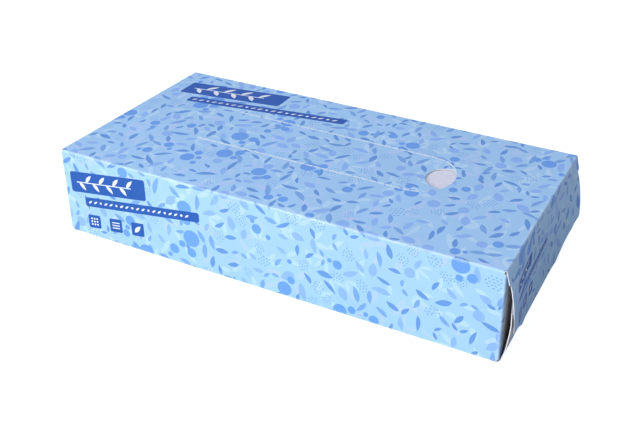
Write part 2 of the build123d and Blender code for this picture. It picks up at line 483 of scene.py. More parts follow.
def scatterTree(name, families):
    tree, entry, outlet = newTree(name, Spacing="Float", Smallest="Float", Largest="Float", Seed="Int")
    spread = addNode(
        tree, "GeometryNodeDistributePointsOnFaces", distribute_method="POISSON", Density_Max=1.0,
    )
    connect(
        tree, (entry["Geometry"], spread.inputs["Mesh"]), (entry["Spacing"], spread.inputs["Distance Min"]),
        (entry["Seed"], spread.inputs["Seed"]),
    )
    chance = randomValue(tree, "FLOAT", 0.0, 1.0, entry["Seed"])
    join = addNode(tree, "GeometryNodeJoinGeometry")
    start = 0.0
    for turn, (collection, share, material) in enumerate(families):
        pick = addNode(tree, "GeometryNodeCollectionInfo", Collection=collection, Separate_Children=True)
        place = addNode(tree, "GeometryNodeInstanceOnPoints", Pick_Instance=True)
        which = randomValue(tree, "INT", 0, len(collection.objects) - 1, 20 + turn)
        angle = randomValue(tree, "FLOAT_VECTOR", (0, 0, 0), (0, 0, 2 * math.pi), 40 + turn)
        size = randomValue(tree, "FLOAT", entry["Smallest"], entry["Largest"], 60 + turn)
        connect(
            tree, (spread.outputs["Points"], place.inputs["Points"]),
            (pick.outputs[0], place.inputs["Instance"]),
            (between(tree, chance, start, start + share), place.inputs["Selection"]),
            (which, place.inputs["Instance Index"]), (angle, place.inputs["Rotation"]),
            (size, place.inputs["Scale"]),
        )
        connect(tree, (realAndPainted(tree, place.outputs[0], material), join.inputs[0]))
        start += share
    connect(tree, (join.outputs[0], outlet))
    return tree


def slitTree(name, mark, material):
    tree, entry, outlet = newTree(name, Pitch="Float")
    line = addNode(tree, "GeometryNodeMeshToCurve")
    steps = addNode(tree, "GeometryNodeCurveToPoints", mode="LENGTH")
    aim = addNode(tree, "FunctionNodeAlignRotationToVector", axis="X", pivot_axis="Z")
    shape = addNode(tree, "GeometryNodeObjectInfo", Object=mark)
    place = addNode(tree, "GeometryNodeInstanceOnPoints")
    connect(
        tree, (entry["Geometry"], line.inputs[0]), (line.outputs[0], steps.inputs[0]),
        (entry["Pitch"], steps.inputs["Length"]), (steps.outputs["Tangent"], aim.inputs["Vector"]),
        (steps.outputs["Points"], place.inputs["Points"]),
        (shape.outputs["Geometry"], place.inputs["Instance"]),
        (aim.outputs[0], place.inputs["Rotation"]),
    )
    connect(tree, (realAndPainted(tree, place.outputs[0], material), outlet))
    return tree


def applyTree(host, tree, values, name):
    modifier = host.modifiers.new("nodes", "NODES")
    modifier.node_group = tree
    identifiers = {i.name: i.identifier for i in tree.interface.items_tree if i.in_out == "INPUT"}
    for title, value in values.items():
        modifier[identifiers[title]] = value
    bpy.context.view_layer.update()
    seen = host.evaluated_get(bpy.context.evaluated_depsgraph_get())
    mesh = bpy.data.meshes.new_from_object(seen)
    mesh.name = name
    host.modifiers.remove(modifier)
    bpy.data.node_groups.remove(tree)
    return mesh


def takeShapes(mesh):
    # the flat outlines in a mesh, with the name of their ink; the mesh is then dropped
    names = [m.name if m else "" for m in mesh.materials]
    shapes = []
    for face in mesh.polygons:
        shape = [(mesh.vertices[i].co.x, mesh.vertices[i].co.y) for i in face.vertices]
        shapes.append((names[face.material_index], shape))
    bpy.data.meshes.remove(mesh)
    return shapes


def dropItems(items):
    for item in items:
        mesh = item.data
        bpy.data.objects.remove(item)
        if mesh.users == 0:
            bpy.data.meshes.remove(mesh)


# The flat sheet, before it is folded
carton = {
    "board": 0.4,
    "creaseRadius": 0.7,
    "layerSetback": 0.5,
    "lapWidth": 14.0,
    "lapTaper": 6.0,
    "rawEdgeLift": 0.15,
    # in from the side, down from the top crease
    "shoulder": ((0.0, 5.7), (1.7, 7.1), (3.2, 30.3), (27.5, 43.7)),
    "innerReach": 26.0,
    "innerSideGap": 1.0,
    "innerCorner": 5.2,
    "dustReach": 43.0,
    "dustEndGap": 0.8,
    "dustTaper": 5.0,
    "flatMiddle": 18.0,
    # height above the ground, how far out at the front and at the back
    "outerFlare": ((44.3, 0, 0), (38.7, 1.5, 1.2), (31.0, 3.25, 3.5), (18.9, 4.9, 5.65), (0.0, 6.2, 6.1)),
    "innerFlare": ((0.7, 0, 0), (5.4, 1.8, 2.0), (12.1, 3.4, 4.0), (18.9, 4.2, 4.6), (27.0, 3.5, 4.0)),
    "bleed": 2.6,  # how far the print runs past a crease that is hidden when closed
    "creep": 0.85,  # how far the walls' ends and the right end's lower edges have worked outwards
    "creepReach": 14.0,
    "tightReach": 2.5,
    "foldSteps": 5,
    "foldSupport": 0.7,  # an extra line this far from each fold
    "flapGrid": 3.6,
    "flatFlapGrid": 15.0,
    "wearAndHighlightReach": 0.7,  # how far the cracked coating and painted highlight reach from a crease
    "printMargin": 4.0,
}

thick = carton["board"]
radius = carton["creaseRadius"]
arc = radius * math.pi / 2
topHalf = halfLength - radius
baseHalf = topHalf - carton["layerSetback"]
wallHalf = topHalf - 2 * carton["layerSetback"]
flatY = halfWidth - radius
lapY = halfWidth - thick
lapFoldY = lapY - radius
wallRun = boxHeight - 2 * radius

# Round the carton on the outside: name, length, start (y, z) or fold centre, direction or start angle
sleeveRuns = [
    ("lap", carton["lapWidth"], (lapY, radius + carton["lapWidth"]), (0, -1), 0),
    ("foldLap", arc, (lapFoldY, radius), None, 0),
    ("base", lapFoldY + flatY, (lapFoldY, 0), (-1, 0), -90),
    ("foldLow", arc, (-flatY, radius), None, -90),
    ("front", wallRun, (-halfWidth, radius), (0, 1), -180),
    ("foldFront", arc, (-flatY, boxHeight - radius), None, -180),
    ("top", 2 * flatY, (-flatY, boxHeight), (1, 0), -270),
    ("foldBack", arc, (flatY, boxHeight - radius), None, -270),
    ("back", wallRun + radius - carton["rawEdgeLift"], (halfWidth, boxHeight - radius), (0, -1), 0),
]
starts, sheetHeight = {}, 0.0
for runName, runLength, *_ in sleeveRuns:
    starts[runName] = sheetHeight
    sheetHeight += runLength
runOf = {run[0]: run for run in sleeveRuns}
halfOf = {"lap": wallHalf, "base": baseHalf, "front": wallHalf, "top": topHalf, "back": wallHalf}
foldSpan = {"foldLap": (-wallHalf, wallHalf), "foldLow": (-wallHalf, wallHalf)}
foldSpan |= {"foldFront": (-wallHalf, wallHalf), "foldBack": (-wallHalf, wallHalf)}


def sleevePlace(runName, b, depth):
    # y, z and the outward direction at a place across the sleeve
    _, length, (y, z), along, angle = runOf[runName]
    s = min(max(b - starts[runName], 0), length)
    a = math.radians(angle) - (0 if along else s / radius)
    n = (math.cos(a), math.sin(a))
    if along:
        return y + along[0] * s - n[0] * depth, z + along[1] * s - n[1] * depth, n
    return y + n[0] * (radius - depth), z + n[1] * (radius - depth), n


def smoothBetween(levels, z, column):
    # a smooth curve through the levels
    ordered = sorted(levels)
    zs = [level[0] for level in ordered]
    vs = [level[column] for level in ordered]
    z = min(max(z, zs[0]), zs[-1])
    for i in range(len(zs) - 1):
        if z <= zs[i + 1]:
            break

    def slope(k):
        if 0 < k < len(zs) - 1:
            return (vs[k + 1] - vs[k - 1]) / (zs[k + 1] - zs[k - 1])
        j = min(k, len(zs) - 2)
        return (vs[j + 1] - vs[j]) / (zs[j + 1] - zs[j])

    step = zs[i + 1] - zs[i]
    t = (z - zs[i]) / step
    h = (2 * t**3 - 3 * t**2 + 1, t**3 - 2 * t**2 + t, -2 * t**3 + 3 * t**2, t**3 - t**2)
    return max(0, h[0] * vs[i] + h[1] * step * slope(i) + h[2] * vs[i + 1] + h[3] * step * slope(i + 1))


def bowOut(levels, y, z):
    past = abs(y) - carton["flatMiddle"]
    if past <= 0:
        return 0.0
    return smoothBetween(levels, z, 1 if y < 0 else 2) * (past / (flatY - carton["flatMiddle"])) ** 2


def smoothStep(value):
    value = min(max(value, 0.0), 1.0)
    return value * value * (3 - 2 * value)


def creepOut(share):
    return carton["creep"] * smoothStep(share)


def foldedPlace(part, a, b, depth):
    # where a point of the flat sheet lies once folded, depth below the printed side
    panel, end = part["panel"], part["end"]
    y, z, n = sleevePlace(panel, b, depth)
    if not end:
        if panel == "top" or panel in ("base", "foldLow", "foldLap", "lap") and a < 0:
            return (a, y, z)
        return (a + math.copysign(creepOut((abs(a) - wallHalf / 2) / (wallHalf / 2)), a), y, z)
    half = halfOf[panel]
    past = abs(a) - half
    cy, cz = y - n[0] * (radius - depth), z - n[1] * (radius - depth)
    turn = min(max(past, 0) / radius, math.pi / 2)
    out = (radius - depth) * math.sin(turn)
    rise = (radius - depth) * math.cos(turn)
    drop = max(past - arc, 0)
    y, z = cy + n[0] * (rise - drop), cz + n[1] * (rise - drop)
    if end > 0 and part["bow"] and drop > 0:
        out += bowOut(carton[part["bow"]], y, z)
    if end > 0:
        out += creepOut(1 - (z if panel == "top" else drop) / carton["creepReach"])
    elif panel in ("front", "back"):
        out += creepOut(1 - drop / carton["tightReach"])
    return (end * (half + out), y, z)


def rectangle(a0, a1, b0, b1):
    return [(a0, b0), (a1, b0), (a1, b1), (a0, b1)]


def sheetParts():
    parts = []

    def add(name, outline, panel, end=0, bow=None):
        parts.append({"name": name, "outline": outline, "panel": panel, "end": end, "bow": bow})

    b = starts
    lapTop, taper = b["lap"], carton["lapTaper"]
    outline = [(-wallHalf + taper, lapTop), (wallHalf - taper, lapTop)]
    add("lap", outline + [(wallHalf, b["foldLap"]), (-wallHalf, b["foldLap"])], "lap")
    for name, (left, right) in foldSpan.items():
        add(name, rectangle(left, right, b[name], b[name] + arc), name)
    for name in ("base", "front", "top", "back"):
        add(name, rectangle(-halfOf[name], halfOf[name], b[name], b[name] + runOf[name][1]), name)
    for end in (-1, 1):
        def span(half, start, stop, b0, b1):
            a = sorted((end * (half + start), end * (half + stop)))
            return rectangle(a[0], a[1], b0, b1)

        top0, top1 = b["top"], b["top"] + 2 * flatY
        add("creaseTop", span(topHalf, 0, arc, top0, top1), "top", end)
        sides = [(0, 0)] + list(carton["shoulder"])
        outline = [(end * (topHalf + arc + drop), top0 + inset) for inset, drop in sides]
        outline += [(end * (topHalf + arc + drop), top1 - inset) for inset, drop in reversed(sides)]
        add("outerFlap", outline, "top", end, "outerFlare")

        middle = b["base"] + lapFoldY  # where y is zero on the base
        side = flatY - carton["innerSideGap"]
        add("creaseBase", span(baseHalf, 0, arc, middle - side, middle + side), "base", end)
        reach, corner = carton["innerReach"], carton["innerCorner"]
        shape = [(0, side), (reach - corner, side), (reach, side - corner)]
        outline = [(end * (baseHalf + arc + up), middle + s) for up, s in shape]
        outline += [(end * (baseHalf + arc + up), middle - s) for up, s in reversed(shape)]
        add("innerFlap", outline, "base", end, "innerFlare")

        gap, reach, taper = carton["dustEndGap"], carton["dustReach"], carton["dustTaper"]
        for wall in ("front", "back"):
            b0, b1 = b[wall] + gap, b[wall] + wallRun - gap
            add("creaseDust", span(wallHalf, 0, arc, b0, b1), wall, end)
            a0, a1 = end * (wallHalf + arc), end * (wallHalf + arc + reach)
            add("dustFlap", [(a0, b0), (a1, b0 + taper), (a1, b1 - taper), (a0, b1)], wall, end)
    return parts


def onTop(x, y):
    return x, starts["top"] + y + flatY


def onFront(x, z):
    return x, starts["front"] + z - radius


def onRightEnd(y, z):
    return topHalf + arc + (boxHeight - radius) - z, starts["top"] + y + flatY


# The tear-out panel and its finger hole
tearOut = {
    "length": 143.5,
    "width": 34.5,
    "middle": (-3.8, 3.2),
    "slitWidth": 0.25,
    "slitLength": 3.3,
    "pitch": 4.1,
    "starter": 9.0,
    "crackAndHighlightWidth": 0.36,  # cracked coating and a painted highlight each side of a slit, where the cut edges catch the light
    "fingerRadius": 10.0,
    "fingerInset": 3.6,
    "pathSteps": 400,
}
tearRadius = tearOut["width"] / 2
tearStraight = tearOut["length"] / 2 - tearRadius
holeAngle = math.acos(
    (tearRadius**2 + (tearRadius - tearOut["fingerInset"]) ** 2 - tearOut["fingerRadius"] ** 2)
    / (2 * tearRadius * (tearRadius - tearOut["fingerInset"]))
)


def tearPath(distance, offset=0.0):
    # along the oval from the finger hole's back corner, round the left end, to its front corner
    r, s = tearRadius, 2 * tearStraight
    first = r * (math.pi / 2 - holeAngle)
    cx, cy = tearOut["middle"]
    if distance < first:
        angle, centre = holeAngle + distance / r, tearStraight
    elif distance < first + s:
        return cx + tearStraight - (distance - first), cy + r + offset
    elif distance < first + s + math.pi * r:
        angle, centre = math.pi / 2 + (distance - first - s) / r, -tearStraight
    elif distance < first + 2 * s + math.pi * r:
        return cx - tearStraight + (distance - first - s - math.pi * r), cy - r - offset
    else:
        angle, centre = 1.5 * math.pi + (distance - first - 2 * s - math.pi * r) / r, tearStraight
    return cx + centre + (r + offset) * math.cos(angle), cy + (r + offset) * math.sin(angle)


tearLength = 2 * tearRadius * (math.pi / 2 - holeAngle) + 4 * tearStraight + math.pi * tearRadius


def fingerHole():
    cx, cy = tearOut["middle"]
    fingerX = cx + tearOut["length"] / 2 - tearOut["fingerInset"]
    endX = cx + tearStraight
    cornerX = endX + tearRadius * math.cos(holeAngle)
    cornerY = tearRadius * math.sin(holeAngle)
    spread = math.atan2(cornerY, cornerX - fingerX)
    outline = []
    for i in range(17):  # the oval's end, from front to back
        a = holeAngle * (-1 + i / 8)
        outline.append((endX + tearRadius * math.cos(a), cy + tearRadius * math.sin(a)))
    r = tearOut["fingerRadius"]
    for i in range(1, 24):  # the finger circle, back to front
        a = spread + (2 * math.pi - 2 * spread) * i / 24
        outline.append((fingerX + r * math.cos(a), cy + r * math.sin(a)))
    return [onTop(x, y) for x, y in outline]


def starterCut(fromEnd, halfBand, steps=12):
    points = []
    for offset, order in ((halfBand, 1), (-halfBand, -1)):
        run = [tearOut["starter"] * i / steps for i in range(steps + 1)]
        row = [tearPath(tearLength - d if fromEnd else d, offset) for d in run]
        points += row[::order]
    return [onTop(x, y) for x, y in points]


def tearMarks(length, band, name, material):
    # one mark for each slit, from the end of one starter cut to the other
    t = tearOut
    nick = t["pitch"] - t["slitLength"]
    begin, finish = t["starter"] + nick, tearLength - t["starter"] - nick
    count = round((finish - begin) / t["pitch"])
    pitch = (finish - begin) / count
    last = t["pathSteps"] - 1
    run = [begin + pitch / 2 + (finish - begin - pitch) * i / last for i in range(last + 1)]
    line = bpy.data.meshes.new(name + "Line")
    places = [(*onTop(*tearPath(distance)), 0) for distance in run]
    line.from_pydata(places, [(i, i + 1) for i in range(last)], [])
    h, w = length / 2, band / 2
    mark = placeItem(name + "Mark", flatMesh(name + "Mark", [[(h, w), (-h, w), (-h, -w), (h, -w)]]))
    host = placeItem(name + "Host", line)
    tree = slitTree(name + "Tree", mark, material)
    made = applyTree(host, tree, {"Pitch": pitch * 0.99999}, name)  # a hair under, so the last slit is kept
    dropItems([mark, host])
    return [shape for _, shape in takeShapes(made)]


# Blue plates with plain ornaments on them: x, y, width and height on their face
plates = {
    "corner": 1.3,
    "slope": 0.142,
    "top": ((-103.5, 27.5, 58.0, 14.3), (-93.5, 19.5, 89.0, 6.1)),
    "front": ((-107.5, 23.0, 44.5, 11.3), (-100.0, 16.6, 66.8, 5.1)),
    "frontSquares": ((-99.5, 4.6), (-86.5, 6.0), (-73.5, 7.6)),
    "end": ((-38.0, 23.4, 21.0, 6.4), (-35.0, 16.6, 42.0, 3.3)),
    "endSquares": ((-34.0, 5.6), (-25.2, 6.8), (-16.6, 8.0)),
    "frontSide": 7.4,
    "endSide": 5.4,
    "squareCorner": 0.8,
}


def plateShape(x, y, w, h, onFace, corner):
    outline = []
    middles = ((w - corner, corner), (w - corner, h - corner), (corner, h - corner), (corner, corner))
    for quarter, (cx, cy) in enumerate(middles):
        for i in range(5):
            a = math.radians(90 * (quarter - 1) + 22.5 * i)
            outline.append((cx + corner * math.cos(a), cy + corner * math.sin(a)))
    return [onFace(x + px, y + py + plates["slope"] * px) for px, py in outline]


def barShape(x0, x1, half):
    return [(x0, -half), (x1, -half), (x1, half), (x0, half)]


def plateArt(x, y, w, h, onFace, kind):
    def put(shape, px, py):
        return [onFace(x + px + sx, y + py + sy + plates["slope"] * (px + sx)) for sx, sy in shape]

    art = []
    if kind == "sprig":  # a branch of leaves across the plate
        step = h * 0.36
        count = int((w - h * 0.9) / step)
        for i in range(count):
            px = h * 0.5 + step * i
            side = 1 if i % 2 else -1
            leaf = turned(leafShape(h * 0.50, h * 0.17, 0.04), 0.85 * side)
            art.append(put(leaf, px + h * 0.12, h / 2 + h * 0.19 * side))
        art.append(put(barShape(0, count * step, h * 0.022), h * 0.32, h / 2))
    elif kind == "beads":
        step = h * 0.62
        bead, leaf = roundShape(h * 0.13, 10), turned(leafShape(h * 0.52, h * 0.2, 0, steps=4), 0.6)
        for i in range(int((w - h * 0.9) / step)):
            art.append(put(bead if i % 3 == 2 else leaf, h * 0.6 + step * i, h / 2))
    elif kind == "dots":
        for i in range(3):
            for j in range(3):
                art.append(put(roundShape(h * 0.075, 10), w * (0.28 + 0.22 * i), h * (0.28 + 0.22 * j)))
    elif kind == "layers":
        for i in range(3):
            art.append(put(barShape(-w * 0.3, w * 0.3, h * 0.04), w / 2, h * (0.3 + 0.2 * i)))
    elif kind == "leaf":
        art.append(put(turned(leafShape(h * 0.72, h * 0.3, 0.03), 0.8), w / 2, h / 2))
    return art


def platePrint():
    shapes = []

    def add(spec, onFace, kind, corner=plates["corner"]):
        shapes.append(("plateBlue", plateShape(*spec, onFace, min(corner, spec[3] * 0.22))))
        shapes.extend(("knockoutWhite", shape) for shape in plateArt(*spec, onFace, kind))

    for face, onFace in (("top", onTop), ("front", onFront), ("end", onRightEnd)):
        add(plates[face][0], onFace, "sprig")
        add(plates[face][1], onFace, "beads")
    for face, onFace in (("front", onFront), ("end", onRightEnd)):
        side = plates[face + "Side"]
        for (x, y), kind in zip(plates[face + "Squares"], ("dots", "layers", "leaf")):
            add((x, y, side, side), onFace, kind, plates["squareCorner"])
    return shapes


# How the print is laid out: two layers, each with its inks and their shares
pattern = {
    "smallest": 0.96,
    "largest": 1.30,
    "motifSeed": 41,
    "layers": {
        "pale": {"spacing": 8.4, "seed": 23, "inks": (("paleBlue", 0.6), ("mistBlue", 0.4))},
        "main": {
            "spacing": 5.9,
            "seed": 7,
            "inks": (
                ("leafBlue", 0.34), ("duskBlue", 0.20), ("softBlue", 0.25), ("berryBlue", 0.10),
                ("seedBlue", 0.11),
            ),
        },
    },
    # each ink covers the ones before it
    "order": (
        "mistBlue", "paleBlue", "seedBlue", "softBlue", "duskBlue", "leafBlue", "berryBlue", "crackedCoat",
        "plateBlue", "knockoutWhite",
    ),
}

boardOrder = ["groundBlue", *pattern["order"], "bareCoated", "greyInside", "cutFibre"]


def scatterPrint():
    pick = random.Random(pattern["motifSeed"])
    items, collections = [], {}
    for family, kinds in motifs.items():
        collection = bpy.data.collections.new(family + "Motifs")
        collections[family] = collection
        for i, shapes in enumerate(designsOf(kinds, pick)):
            item = bpy.data.objects.new("%sMotif%02d" % (family, i), flatMesh(family, shapes))
            collection.objects.link(item)
            items.append(item)
    reach = topHalf + arc + wallRun + carton["printMargin"]
    shapes = []
    for title, layer in pattern["layers"].items():
        ground = flatMesh(title + "Ground", [rectangle(-reach, reach, 0, sheetHeight)])
        host = placeItem(title + "Host", ground)
        families = [(collections[name], share, boardMaterials[name]) for name, share in layer["inks"]]
        tree = scatterTree(title + "Scatter", families)
        values = {"Spacing": layer["spacing"], "Seed": layer["seed"]}
        values |= {"Smallest": pattern["smallest"], "Largest": pattern["largest"]}
        shapes += takeShapes(applyTree(host, tree, values, title + "Print"))
        dropItems([host])
    dropItems(items)
    for collection in collections.values():
        bpy.data.collections.remove(collection)
    return shapes


# Cut, print and fold the sheet
def area(shape):
    return 0.5 * sum(x0 * y1 - x1 * y0 for (x0, y0), (x1, y1) in zip(shape, shape[1:] + shape[:1]))


def divideSheet(parts, holes, printed, loose=()):
    # divides the flat sheet along its outline, creases, holes and print,
    # and says which part and ink each one belongs to
    points, edges, faces, meaning = [], [], [], []

    def addShape(shape, label):
        shape = list(shape)
        if area(shape) < 0:
            shape.reverse()
        faces.append(tuple(range(len(points), len(points) + len(shape))))
        points.extend(Vector(p) for p in shape)
        meaning.append(label)

    def addLine(a0, b0, a1, b1):
        points.extend((Vector((a0, b0)), Vector((a1, b1))))
        edges.append((len(points) - 2, len(points) - 1))

    for i, part in enumerate(parts):
        addShape(part["outline"], ("part", i))
    for shape in holes:
        addShape(shape, ("hole", 0))
    for ink, shape in printed:
        addShape(shape, ("ink", 1 + pattern["order"].index(ink)))
    bendLines(addLine)
    points.extend(loose)
    flat, _, triangles, _, _, origins = delaunay_2d_cdt(points, edges, faces, 0, 1e-4, True)

    bareInk = boardOrder.index("bareCoated")
    kept, inks, partOf = [], [], {}
    for triangle, sources in zip(triangles, origins):
        labels = [meaning[i] for i in sources if i < len(meaning)]
        owners = [value for kind, value in labels if kind == "part"]
        if not owners:
            continue
        part = parts[owners[0]]
        if part["name"] == "top" and any(kind == "hole" for kind, _ in labels):
            continue
        middle = sum((flat[i] for i in triangle), Vector((0, 0))) / 3
        kept.append(tuple(triangle))
        printedInk = max([value for kind, value in labels if kind == "ink"], default=0)
        inks.append(bareInk if isBare(part, middle) else printedInk)
        for i in triangle:
            partOf.setdefault(i, part)
    used = sorted(partOf)
    number = {old: new for new, old in enumerate(used)}
    kept = [tuple(number[i] for i in triangle) for triangle in kept]
    return [flat[i] for i in used], kept, inks, [partOf[i] for i in used]


def bendLines(addLine):
    # extra lines that let the sheet bend at its folds and bow at its flaps
    steps, support = carton["foldSteps"], carton["foldSupport"]
    for name, (left, right) in foldSpan.items():
        for i in range(1, steps):
            b = starts[name] + arc * i / steps
            addLine(left, b, right, b)
        for b in (starts[name] - support, starts[name] + arc + support):
            addLine(-topHalf, b, topHalf, b)
    for end in (-1, 1):
        for panel in ("base", "front", "top", "back"):
            b0, b1 = starts[panel], starts[panel] + runOf[panel][1]
            for d in [-support] + [arc * i / steps for i in range(1, steps)] + [arc + support]:
                a = end * (halfOf[panel] + d)
                addLine(a, b0, a, b1)
        for panel, length in (("top", wallRun), ("base", carton["innerReach"])):
            grid = carton["flapGrid" if end > 0 else "flatFlapGrid"]
            b0, b1 = starts[panel], starts[panel] + runOf[panel][1]
            a0 = halfOf[panel] + arc
            for i in range(1, int(length / grid) + 1):
                addLine(end * (a0 + i * grid), b0, end * (a0 + i * grid), b1)
            for i in range(1, int((b1 - b0) / grid) + 1):
                addLine(end * a0, b0 + i * grid, end * (a0 + length), b0 + i * grid)
        for wall in ("front", "back"):  # where the print stops on the dust flaps
            a = end * (wallHalf + arc + carton["bleed"])
            addLine(a, starts[wall], a, starts[wall] + wallRun)
        a = end * (baseHalf + arc + carton["bleed"])
        addLine(a, starts["base"], a, starts["base"] + runOf["base"][1])
    b = starts["foldLap"] - carton["bleed"]
    addLine(-wallHalf, b, wallHalf, b)


def isBare(part, middle):
    # the print stops a little past the creases of the hidden flaps and the lap
    past = abs(middle.x) - halfOf.get(part["panel"], wallHalf) - arc
    if part["name"] in ("dustFlap", "innerFlap"):
        return past > carton["bleed"]
    return part["name"] == "lap" and middle.y < starts["foldLap"] - carton["bleed"]


def cartonMesh():
    parts = sheetParts()
    printed = scatterPrint() + platePrint()
    margin, slitLength, slitWidth = tearOut["crackAndHighlightWidth"], tearOut["slitLength"], tearOut["slitWidth"]
    slits = tearMarks(slitLength, slitWidth, "slits", boardMaterials["cutFibre"])
    # a lighter band round each slit: cracked coating with a painted highlight on the cut edges
    burrs = tearMarks(slitLength + margin, slitWidth + 2 * margin, "burrs", boardMaterials["crackedCoat"])
    slits += [starterCut(False, slitWidth / 2), starterCut(True, slitWidth / 2)]
    leftEdge = tearOut["middle"][0] - tearStraight - 2  # no lighter band round the left end: the slits there are left dark, without painted highlight
    burrs = [shape for shape in burrs if shape[0][0] > leftEdge]
    burrs.append(starterCut(False, slitWidth / 2 + margin))
    printed += [("crackedCoat", shape) for shape in burrs]
    holes = slits + [fingerHole()]
    print("stage: print laid out,", len(printed), "shapes,", len(slits), "slits")

    outer, outerFaces, inks, outerParts = divideSheet(parts, holes, printed)
    seen = {pair for face in outerFaces for pair in zip(face, face[1:] + face[:1])}
    rims = sorted((i, j) for i, j in seen if (j, i) not in seen)
    rimPoints = sorted({i for pair in rims for i in pair})
    inner, innerFaces, _, innerParts = divideSheet(parts, holes, [], [outer[i] for i in rimPoints])
    count = len(outer)

    # each point of a rim has a twin on the inner skin
    finder = KDTree(len(inner))
    for i, place in enumerate(inner):
        finder.insert((place.x, place.y, 0), i)
    finder.balance()
    twin = {i: count + finder.find((outer[i].x, outer[i].y, 0))[1] for i in rimPoints}
    print("stage: sheet divided,", len(outerFaces), "printed faces,", len(innerFaces), "inside")

    places = [foldedPlace(part, p.x, p.y, 0) for part, p in zip(outerParts, outer)]
    places += [foldedPlace(part, p.x, p.y, thick) for part, p in zip(innerParts, inner)]
    shapes = outerFaces + [tuple(i + count for i in reversed(face)) for face in innerFaces]
    shapes += [(i, twin[i], twin[j], j) for i, j in rims]
    inks += [boardOrder.index("greyInside")] * len(innerFaces) + [boardOrder.index("cutFibre")] * len(rims)

    mesh = bpy.data.meshes.new("foldedCarton")
    mesh.from_pydata([tuple(c * mm for c in p) for p in places], [], shapes)
    for name in boardOrder:
        mesh.materials.append(boardMaterials[name])
    mesh.polygons.foreach_set("material_index", inks)
    mesh.polygons.foreach_set("use_smooth", [True] * len(shapes))
    mesh.update()

    rimPairs = {tuple(sorted(pair)) for pair in rims} | {tuple(sorted((twin[i], twin[j]))) for i, j in rims}
    rimPairs |= {(i, twin[i]) for i in rimPoints}
    sharp = mesh.attributes.new("sharp_edge", "BOOLEAN", "EDGE")
    sharp.data.foreach_set("value", [tuple(sorted(e.vertices)) in rimPairs for e in mesh.edges])

    # lighter along every crease: cracked coating with a painted highlight
    wearAndHighlight = mesh.attributes.new("foldWear", "FLOAT", "POINT")
    values = [creaseWearAndHighlight(part, p.x, p.y) for part, p in zip(outerParts, outer)]
    wearAndHighlight.data.foreach_set("value", values + [0.0] * len(inner))
    mapSheet(mesh, outer, inner, outerFaces, innerFaces, rims)
    print("stage: carton folded,", len(shapes), "faces")
    return mesh


sheetMap = {
    "outsideSize": 0.86,
    "insideSize": 0.06,
    "edge": 0.005,
    "insideX": 0.872,
    "insideY": 0.01,
    "rimPatch": ((0.88, 0.30), (0.90, 0.36)),
    "rimPlaces": 40,
    "rimStep": 0.002,
}


def mapSheet(mesh, outer, inner, outerFaces, innerFaces, rims):
    # the flat sheet is its own map: the outside large, the inside small beside it, the cut edges on one patch
    m = sheetMap
    span = max(abs(p.x) for p in outer)
    large, small = m["outsideSize"] / sheetHeight, m["insideSize"] / span
    coords = []
    for face in outerFaces:
        coords += [((outer[i].x + span) * large + m["edge"], outer[i].y * large + m["edge"]) for i in face]
    for face in innerFaces:
        coords += [
            ((inner[i].x + span) * small + m["insideX"], inner[i].y * small + m["insideY"])
            for i in reversed(face)
        ]
    (u0, v0), (u1, v1) = m["rimPatch"]
    for index in range(len(rims)):
        step = (index % m["rimPlaces"]) * m["rimStep"]
        coords += [(u0 + step, v0), (u0 + step, v1), (u1 + step, v1), (u1 + step, v0)]
    layer = mesh.uv_layers.new(name="OFBake")
    layer.data.foreach_set("uv", [v for pair in coords for v in pair])


def creaseWearAndHighlight(part, a, b):
    # cracked coating and painted highlight: 1 on a crease, falling to 0 beside it
    nearest = math.inf
    for name, (left, right) in foldSpan.items():
        if left - 0.01 <= a <= right + 0.01:
            nearest = min(nearest, max(starts[name] - b, b - starts[name] - arc, 0))
    half = halfOf.get(part["panel"])
    if half and part["name"] != "lap":
        nearest = min(nearest, max(half - abs(a), abs(a) - half - arc, 0))
    return max(0.0, 1 - nearest / carton["wearAndHighlightReach"])


cartonPiece = placeItem("printed_carton", cartonMesh())
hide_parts("carton")
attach(cartonPiece, "root")
print("stage: carton placed")


# The tissues
tissues = {
    "sheets": 92,  # below the top one, which has a finer mesh of its own
    "lift": 0.05,
    "wander": 0.35,
    "topGrid": 1.6,
    "warmWhite": (0.93, 0.95, 1.0),
    "coolWhite": (0.85, 0.89, 1.0),
    "rough": 0.95,
    "sheen": 0.15,
    "driftScale": 45.0,
    "crinkleScale": 260.0,
    "crinkleDepth": 0.0006,
    "crepeScale": 900.0,
    "crepeDepth": 0.0001,
    "columns": 7,
    "gapShare": 0.02,  # air between one sheet and the next
    "topShare": 0.9,
    "edgeRound": 1.5,
}

# How far the top tissue and the film are pushed up under the finger hole
puff = {"rise": 1.72, "reach": 19.0, "level": 10.5, "ripple": 0.09}


def puffAt(x, y):
    holeX = tearOut["middle"][0] + tearOut["length"] / 2 - tearOut["fingerInset"]
    away = math.hypot(x - holeX, y - tearOut["middle"][1])
    share = smoothStep((puff["reach"] - away) / (puff["reach"] - puff["level"]))
    ripple = math.sin(0.62 * x + 1.1 * math.sin(0.31 * y)) * math.cos(0.21 * y + 0.4)
    return share * (puff["rise"] + puff["ripple"] * (ripple - 1))


def tissueFinish():
    look = tissues
    material, tree, surface = newFinish("softTissue")
    crinkle = texture(tree, "Noise", Scale=look["crinkleScale"], Detail=5.0, Roughness=0.6)
    drift = texture(tree, "Noise", Scale=look["driftScale"], Detail=2.0)
    crepe = texture(tree, "Wave", Scale=look["crepeScale"], Distortion=4.0)
    base = mixColour(tree, drift, (*look["coolWhite"], 1), (*look["warmWhite"], 1))
    fine = bumped(tree, crepe, 0.35, look["crepeDepth"])
    broad = bumped(tree, crinkle, 0.5, look["crinkleDepth"], fine)
    connect(tree, (base, surface.inputs["Base Color"]), (broad, surface.inputs["Normal"]))
    surface.inputs["Roughness"].default_value = look["rough"]
    surface.inputs["Sheen Weight"].default_value = look["sheen"]
    return material


